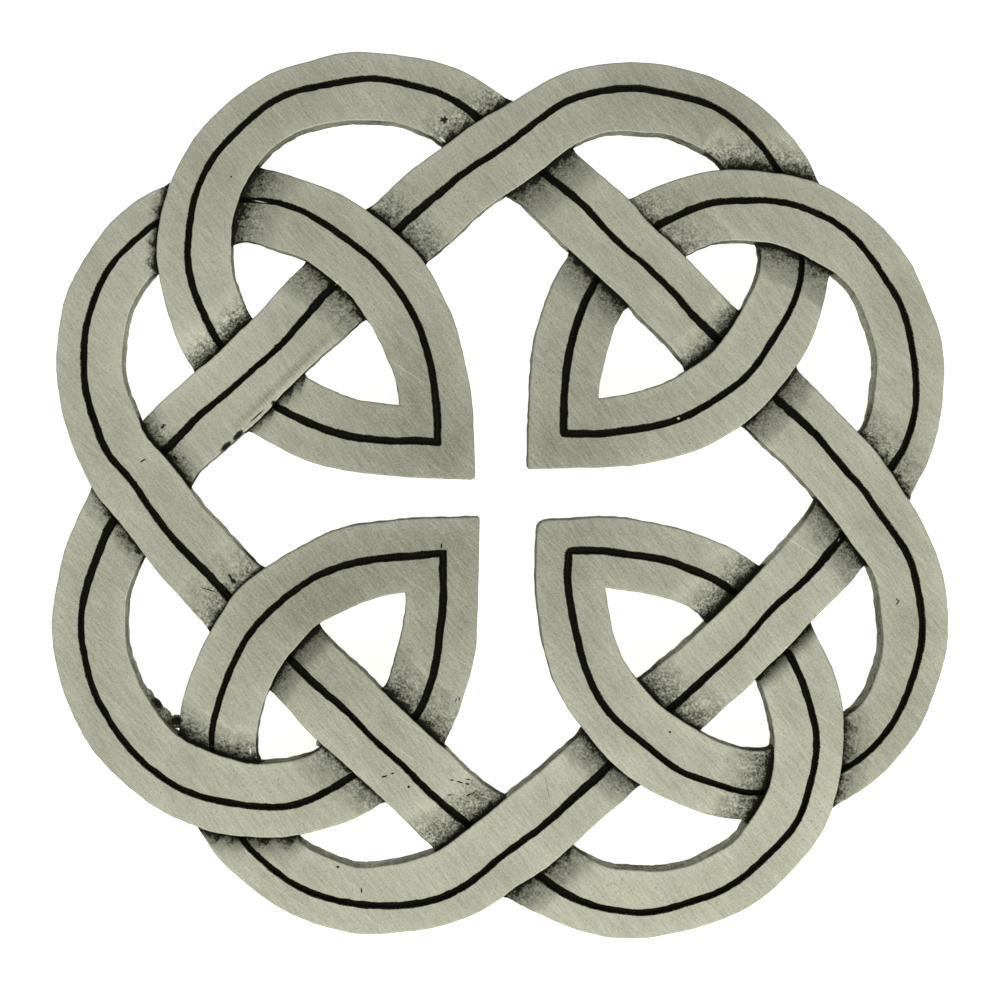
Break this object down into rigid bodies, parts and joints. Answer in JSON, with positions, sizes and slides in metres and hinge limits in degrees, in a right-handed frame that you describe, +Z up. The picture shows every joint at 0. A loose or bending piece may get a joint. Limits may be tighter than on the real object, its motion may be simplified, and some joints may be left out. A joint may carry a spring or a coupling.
{
  "type": "plaid brooch",
  "caption": "Round openwork plaid brooch: two flat grooved strands plaited into a four-petalled knot, with a plain pin fitting behind.",
  "frame": {"origin": "on the surface that the brooch lies on, under the middle of its outline", "axes": "+Z up out of the face, +Y to the top of the brooch as pictured, +X to its right"},
  "size_m": [0.075, 0.0742, 0.0063],
  "materials": {
    "pewter": "brushed pewter, blackened in its grooves and dips",
    "pin_steel": "plain drawn steel"
  },
  "bodies": {
    "root": {"knot": "pewter", "pin_back": "pin_steel"}
  },
  "joints": []
}
